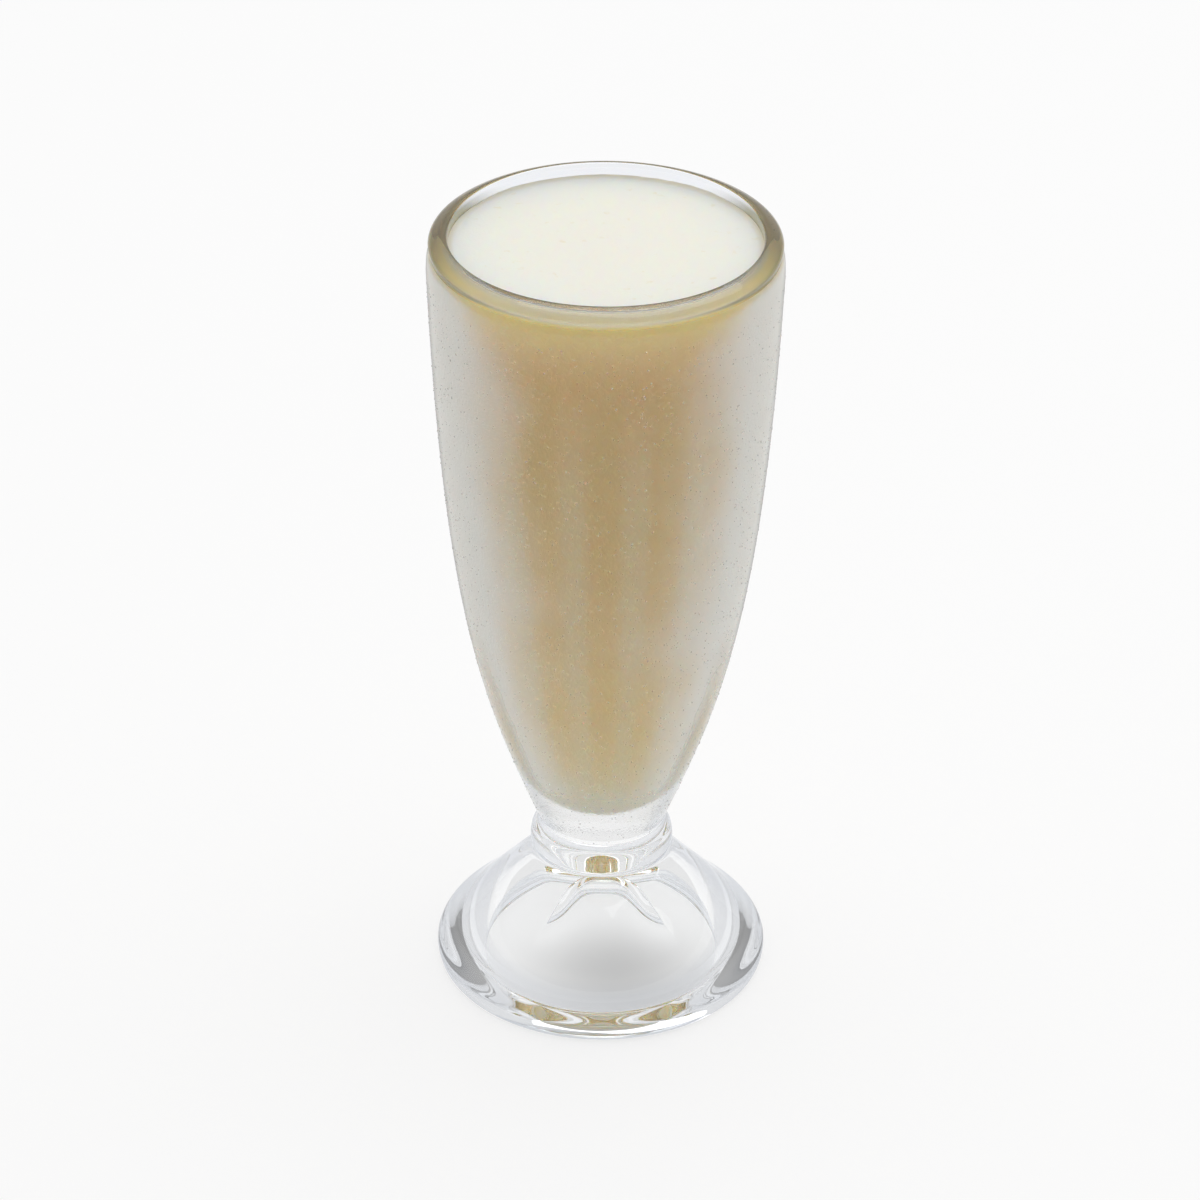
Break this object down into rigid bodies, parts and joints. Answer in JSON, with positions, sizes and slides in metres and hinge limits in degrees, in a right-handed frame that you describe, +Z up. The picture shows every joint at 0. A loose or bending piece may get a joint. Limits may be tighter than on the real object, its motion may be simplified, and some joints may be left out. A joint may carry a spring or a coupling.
{
  "type": "vanilla milkshake",
  "caption": "Vanilla milkshake filling a tall footed soda glass of thick clear pressed glass, with a rounded lip and a hollow cone foot.",
  "frame": {"origin": "centre of the foot's flat base, on the surface that the glass stands on", "axes": "+Z up along the glass's axis; the picture looks along +Y, with +X to the right"},
  "size_m": [0.0786, 0.0786, 0.1905],
  "materials": {
    "clear_glass": "clear pressed glass, fire-polished, the bowl misted with fine water drops",
    "milkshake": "opaque cream with a soft sheen and a fine foam on top"
  },
  "bodies": {
    "root": {"glass": "clear_glass", "milkshake": "milkshake"}
  },
  "joints": []
}
